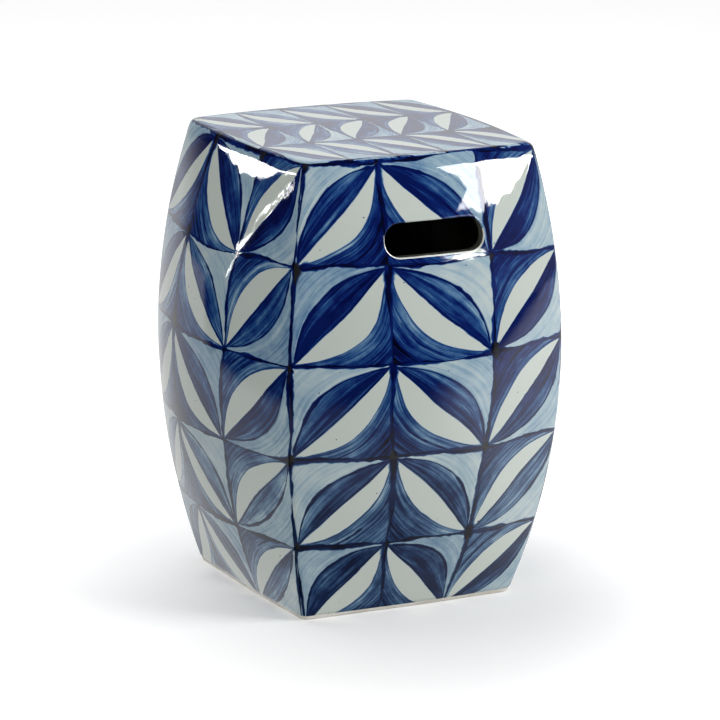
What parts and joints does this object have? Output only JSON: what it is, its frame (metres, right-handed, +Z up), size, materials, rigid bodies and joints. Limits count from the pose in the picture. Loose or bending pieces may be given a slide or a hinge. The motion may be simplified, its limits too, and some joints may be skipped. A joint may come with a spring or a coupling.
{
  "type": "garden stool",
  "caption": "Square drum-shaped glazed ceramic garden stool with bowed sides, a flat round-edged seat, a hand hole near the top of opposite walls and an open hollow base.",
  "frame": {"origin": "on the ground, under the middle of the stool", "axes": "+Z up through the seat, -Y towards the front wall, which has a hand hole, +X to the right"},
  "size_m": [0.358, 0.358, 0.457],
  "materials": {
    "painted_glaze": "gloss",
    "bare_clay": "matte"
  },
  "bodies": {
    "root": {"seat_slab": "painted_glaze", "front_wall": "painted_glaze", "right_wall": "painted_glaze", "back_wall": "painted_glaze", "left_wall": "painted_glaze", "corner_coil_front_right": "bare_clay", "corner_coil_back_right": "bare_clay", "corner_coil_back_left": "bare_clay", "corner_coil_front_left": "bare_clay", "seat_coil_front": "bare_clay", "seat_coil_right": "bare_clay", "seat_coil_back": "bare_clay", "seat_coil_left": "bare_clay", "foot_strip_front": "bare_clay", "foot_strip_right": "bare_clay", "foot_strip_back": "bare_clay", "foot_strip_left": "bare_clay"}
  },
  "joints": []
}
